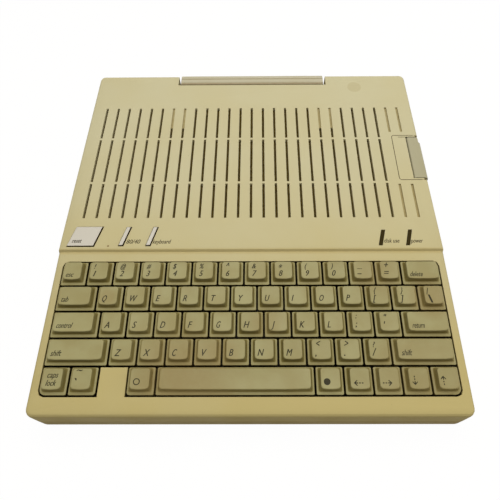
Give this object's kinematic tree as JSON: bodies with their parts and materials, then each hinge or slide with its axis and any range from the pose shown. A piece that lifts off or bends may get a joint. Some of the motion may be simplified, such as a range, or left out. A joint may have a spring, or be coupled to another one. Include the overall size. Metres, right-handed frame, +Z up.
{
  "type": "portable home computer",
  "caption": "Flat wedge-shaped home computer with built-in keyboard, slotted rear deck, side disk drive with lifting door and a swing-down rear handle.",
  "frame": {"origin": "on the surface the feet stand on, under the middle of the whole computer", "axes": "+X to the typist's right, +Y to the rear, +Z up"},
  "size_m": [0.2925, 0.305, 0.0633],
  "materials": {
    "case_plastic": "moulded, fine spark texture, yellowed with age",
    "keycap_plastic": "moulded, slightly satin",
    "dark_plastic": "matt",
    "door_plastic": "moulded, satin",
    "button_plastic": "satin",
    "zinc_plate": "dull die-cast and sheet metal",
    "board_lacquer": "solder lacquer over glass fibre board",
    "foot_rubber": "matt",
    "lamp_lens": "dark lens, unlit"
  },
  "bodies": {
    "case": {"upper_case": "case_plastic", "lower_case": "case_plastic", "keyboard_plate": "keycap_plastic", "drive_bezel": "case_plastic", "disk_drive": "zinc_plate", "logic_board": "board_lacquer", "power_converter": "zinc_plate", "disk_lamp": "lamp_lens", "power_lamp": "lamp_lens", "foot_front_left": "foot_rubber", "foot_front_right": "foot_rubber", "foot_rear_left": "foot_rubber", "foot_rear_right": "foot_rubber"},
    "key_space": {"key_space": "keycap_plastic"},
    "key_shift_left": {"key_shift_left": "keycap_plastic"},
    "key_z": {"key_z": "keycap_plastic"},
    "key_x": {"key_x": "keycap_plastic"},
    "key_c": {"key_c": "keycap_plastic"},
    "key_v": {"key_v": "keycap_plastic"},
    "key_b": {"key_b": "keycap_plastic"},
    "key_n": {"key_n": "keycap_plastic"},
    "key_m": {"key_m": "keycap_plastic"},
    "key_comma": {"key_comma": "keycap_plastic"},
    "key_period": {"key_period": "keycap_plastic"},
    "key_slash": {"key_slash": "keycap_plastic"},
    "key_shift_right": {"key_shift_right": "keycap_plastic"},
    "key_control": {"key_control": "keycap_plastic"},
    "key_a": {"key_a": "keycap_plastic"},
    "key_s": {"key_s": "keycap_plastic"},
    "key_d": {"key_d": "keycap_plastic"},
    "key_f": {"key_f": "keycap_plastic"},
    "key_g": {"key_g": "keycap_plastic"},
    "key_h": {"key_h": "keycap_plastic"},
    "key_j": {"key_j": "keycap_plastic"},
    "key_k": {"key_k": "keycap_plastic"},
    "key_l": {"key_l": "keycap_plastic"},
    "key_semicolon": {"key_semicolon": "keycap_plastic"},
    "key_quote": {"key_quote": "keycap_plastic"},
    "key_return": {"key_return": "keycap_plastic"},
    "key_tab": {"key_tab": "keycap_plastic"},
    "key_q": {"key_q": "keycap_plastic"},
    "key_w": {"key_w": "keycap_plastic"},
    "key_e": {"key_e": "keycap_plastic"},
    "key_r": {"key_r": "keycap_plastic"},
    "key_t": {"key_t": "keycap_plastic"},
    "key_y": {"key_y": "keycap_plastic"},
    "key_u": {"key_u": "keycap_plastic"},
    "key_i": {"key_i": "keycap_plastic"},
    "key_o": {"key_o": "keycap_plastic"},
    "key_p": {"key_p": "keycap_plastic"},
    "key_bracket_left": {"key_bracket_left": "keycap_plastic"},
    "key_bracket_right": {"key_bracket_right": "keycap_plastic"},
    "key_backslash": {"key_backslash": "keycap_plastic"},
    "reset_button": {"reset_button": "button_plastic"},
    "width_switch": {"width_switch": "case_plastic"},
    "layout_switch": {"layout_switch": "case_plastic"},
    "carry_handle": {"carry_handle": "case_plastic"},
    "drive_door": {"drive_door": "door_plastic"},
    "power_rocker": {"power_rocker": "dark_plastic"},
    "volume_wheel": {"volume_wheel": "dark_plastic"}
  },
  "joints": [
    {"name": "handle_swing", "type": "hinge", "parent": "case", "child": "carry_handle", "pos_m": [0, 0.14578, 0.012], "axis": [-1, 0, 0], "range_deg": [0, 150]},
    {"name": "door_lift", "type": "hinge", "parent": "case", "child": "drive_door", "pos_m": [0.13484, 0.05115, 0.0547], "axis": [0, -0.9973, -0.0728], "range_deg": [0, 75]},
    {"name": "power_rock", "type": "hinge", "parent": "case", "child": "power_rocker", "pos_m": [-0.1205, 0.13558, 0.019], "axis": [-1, 0, 0], "range_deg": [0, 18]},
    {"name": "volume_turn", "type": "hinge", "parent": "case", "child": "volume_wheel", "pos_m": [-0.13738, -0.05748, 0.0205], "axis": [0, 0, 1], "range_deg": [0, 270]},
    {"name": "reset_press", "type": "slide", "parent": "case", "child": "reset_button", "axis": [0, 0.0728, -0.9973], "range_m": [0, 0.0018], "stiffness_N_per_m": 250, "springref_m": -0.002},
    {"name": "width_switch_press", "type": "slide", "parent": "case", "child": "width_switch", "axis": [0, 0.0728, -0.9973], "range_m": [0, 0.0024]},
    {"name": "layout_switch_press", "type": "slide", "parent": "case", "child": "layout_switch", "axis": [0, 0.0728, -0.9973], "range_m": [0, 0.0024]},
    {"name": "key_space_press", "type": "slide", "parent": "case", "child": "key_space", "axis": [0, 0.1305, -0.9914], "range_m": [0, 0.0035], "stiffness_N_per_m": 150, "springref_m": -0.002},
    {"name": "key_shift_left_press", "type": "slide", "parent": "case", "child": "key_shift_left", "axis": [0, 0.1305, -0.9914], "range_m": [0, 0.0035], "stiffness_N_per_m": 150, "springref_m": -0.002},
    {"name": "key_z_press", "type": "slide", "parent": "case", "child": "key_z", "axis": [0, 0.1305, -0.9914], "range_m": [0, 0.0035], "stiffness_N_per_m": 150, "springref_m": -0.002},
    {"name": "key_x_press", "type": "slide", "parent": "case", "child": "key_x", "axis": [0, 0.1305, -0.9914], "range_m": [0, 0.0035], "stiffness_N_per_m": 150, "springref_m": -0.002},
    {"name": "key_c_press", "type": "slide", "parent": "case", "child": "key_c", "axis": [0, 0.1305, -0.9914], "range_m": [0, 0.0035], "stiffness_N_per_m": 150, "springref_m": -0.002},
    {"name": "key_v_press", "type": "slide", "parent": "case", "child": "key_v", "axis": [0, 0.1305, -0.9914], "range_m": [0, 0.0035], "stiffness_N_per_m": 150, "springref_m": -0.002},
    {"name": "key_b_press", "type": "slide", "parent": "case", "child": "key_b", "axis": [0, 0.1305, -0.9914], "range_m": [0, 0.0035], "stiffness_N_per_m": 150, "springref_m": -0.002},
    {"name": "key_n_press", "type": "slide", "parent": "case", "child": "key_n", "axis": [0, 0.1305, -0.9914], "range_m": [0, 0.0035], "stiffness_N_per_m": 150, "springref_m": -0.002},
    {"name": "key_m_press", "type": "slide", "parent": "case", "child": "key_m", "axis": [0, 0.1305, -0.9914], "range_m": [0, 0.0035], "stiffness_N_per_m": 150, "springref_m": -0.002},
    {"name": "key_comma_press", "type": "slide", "parent": "case", "child": "key_comma", "axis": [0, 0.1305, -0.9914], "range_m": [0, 0.0035], "stiffness_N_per_m": 150, "springref_m": -0.002},
    {"name": "key_period_press", "type": "slide", "parent": "case", "child": "key_period", "axis": [0, 0.1305, -0.9914], "range_m": [0, 0.0035], "stiffness_N_per_m": 150, "springref_m": -0.002},
    {"name": "key_slash_press", "type": "slide", "parent": "case", "child": "key_slash", "axis": [0, 0.1305, -0.9914], "range_m": [0, 0.0035], "stiffness_N_per_m": 150, "springref_m": -0.002},
    {"name": "key_shift_right_press", "type": "slide", "parent": "case", "child": "key_shift_right", "axis": [0, 0.1305, -0.9914], "range_m": [0, 0.0035], "stiffness_N_per_m": 150, "springref_m": -0.002},
    {"name": "key_control_press", "type": "slide", "parent": "case", "child": "key_control", "axis": [0, 0.1305, -0.9914], "range_m": [0, 0.0035], "stiffness_N_per_m": 150, "springref_m": -0.002},
    {"name": "key_a_press", "type": "slide", "parent": "case", "child": "key_a", "axis": [0, 0.1305, -0.9914], "range_m": [0, 0.0035], "stiffness_N_per_m": 150, "springref_m": -0.002},
    {"name": "key_s_press", "type": "slide", "parent": "case", "child": "key_s", "axis": [0, 0.1305, -0.9914], "range_m": [0, 0.0035], "stiffness_N_per_m": 150, "springref_m": -0.002},
    {"name": "key_d_press", "type": "slide", "parent": "case", "child": "key_d", "axis": [0, 0.1305, -0.9914], "range_m": [0, 0.0035], "stiffness_N_per_m": 150, "springref_m": -0.002},
    {"name": "key_f_press", "type": "slide", "parent": "case", "child": "key_f", "axis": [0, 0.1305, -0.9914], "range_m": [0, 0.0035], "stiffness_N_per_m": 150, "springref_m": -0.002},
    {"name": "key_g_press", "type": "slide", "parent": "case", "child": "key_g", "axis": [0, 0.1305, -0.9914], "range_m": [0, 0.0035], "stiffness_N_per_m": 150, "springref_m": -0.002},
    {"name": "key_h_press", "type": "slide", "parent": "case", "child": "key_h", "axis": [0, 0.1305, -0.9914], "range_m": [0, 0.0035], "stiffness_N_per_m": 150, "springref_m": -0.002},
    {"name": "key_j_press", "type": "slide", "parent": "case", "child": "key_j", "axis": [0, 0.1305, -0.9914], "range_m": [0, 0.0035], "stiffness_N_per_m": 150, "springref_m": -0.002},
    {"name": "key_k_press", "type": "slide", "parent": "case", "child": "key_k", "axis": [0, 0.1305, -0.9914], "range_m": [0, 0.0035], "stiffness_N_per_m": 150, "springref_m": -0.002},
    {"name": "key_l_press", "type": "slide", "parent": "case", "child": "key_l", "axis": [0, 0.1305, -0.9914], "range_m": [0, 0.0035], "stiffness_N_per_m": 150, "springref_m": -0.002},
    {"name": "key_semicolon_press", "type": "slide", "parent": "case", "child": "key_semicolon", "axis": [0, 0.1305, -0.9914], "range_m": [0, 0.0035], "stiffness_N_per_m": 150, "springref_m": -0.002},
    {"name": "key_quote_press", "type": "slide", "parent": "case", "child": "key_quote", "axis": [0, 0.1305, -0.9914], "range_m": [0, 0.0035], "stiffness_N_per_m": 150, "springref_m": -0.002},
    {"name": "key_return_press", "type": "slide", "parent": "case", "child": "key_return", "axis": [0, 0.1305, -0.9914], "range_m": [0, 0.0035], "stiffness_N_per_m": 150, "springref_m": -0.002},
    {"name": "key_tab_press", "type": "slide", "parent": "case", "child": "key_tab", "axis": [0, 0.1305, -0.9914], "range_m": [0, 0.0035], "stiffness_N_per_m": 150, "springref_m": -0.002},
    {"name": "key_q_press", "type": "slide", "parent": "case", "child": "key_q", "axis": [0, 0.1305, -0.9914], "range_m": [0, 0.0035], "stiffness_N_per_m": 150, "springref_m": -0.002},
    {"name": "key_w_press", "type": "slide", "parent": "case", "child": "key_w", "axis": [0, 0.1305, -0.9914], "range_m": [0, 0.0035], "stiffness_N_per_m": 150, "springref_m": -0.002},
    {"name": "key_e_press", "type": "slide", "parent": "case", "child": "key_e", "axis": [0, 0.1305, -0.9914], "range_m": [0, 0.0035], "stiffness_N_per_m": 150, "springref_m": -0.002},
    {"name": "key_r_press", "type": "slide", "parent": "case", "child": "key_r", "axis": [0, 0.1305, -0.9914], "range_m": [0, 0.0035], "stiffness_N_per_m": 150, "springref_m": -0.002},
    {"name": "key_t_press", "type": "slide", "parent": "case", "child": "key_t", "axis": [0, 0.1305, -0.9914], "range_m": [0, 0.0035], "stiffness_N_per_m": 150, "springref_m": -0.002},
    {"name": "key_y_press", "type": "slide", "parent": "case", "child": "key_y", "axis": [0, 0.1305, -0.9914], "range_m": [0, 0.0035], "stiffness_N_per_m": 150, "springref_m": -0.002},
    {"name": "key_u_press", "type": "slide", "parent": "case", "child": "key_u", "axis": [0, 0.1305, -0.9914], "range_m": [0, 0.0035], "stiffness_N_per_m": 150, "springref_m": -0.002},
    {"name": "key_i_press", "type": "slide", "parent": "case", "child": "key_i", "axis": [0, 0.1305, -0.9914], "range_m": [0, 0.0035], "stiffness_N_per_m": 150, "springref_m": -0.002},
    {"name": "key_o_press", "type": "slide", "parent": "case", "child": "key_o", "axis": [0, 0.1305, -0.9914], "range_m": [0, 0.0035], "stiffness_N_per_m": 150, "springref_m": -0.002},
    {"name": "key_p_press", "type": "slide", "parent": "case", "child": "key_p", "axis": [0, 0.1305, -0.9914], "range_m": [0, 0.0035], "stiffness_N_per_m": 150, "springref_m": -0.002},
    {"name": "key_bracket_left_press", "type": "slide", "parent": "case", "child": "key_bracket_left", "axis": [0, 0.1305, -0.9914], "range_m": [0, 0.0035], "stiffness_N_per_m": 150, "springref_m": -0.002},
    {"name": "key_bracket_right_press", "type": "slide", "parent": "case", "child": "key_bracket_right", "axis": [0, 0.1305, -0.9914], "range_m": [0, 0.0035], "stiffness_N_per_m": 150, "springref_m": -0.002},
    {"name": "key_backslash_press", "type": "slide", "parent": "case", "child": "key_backslash", "axis": [0, 0.1305, -0.9914], "range_m": [0, 0.0035], "stiffness_N_per_m": 150, "springref_m": -0.002}
  ]
}
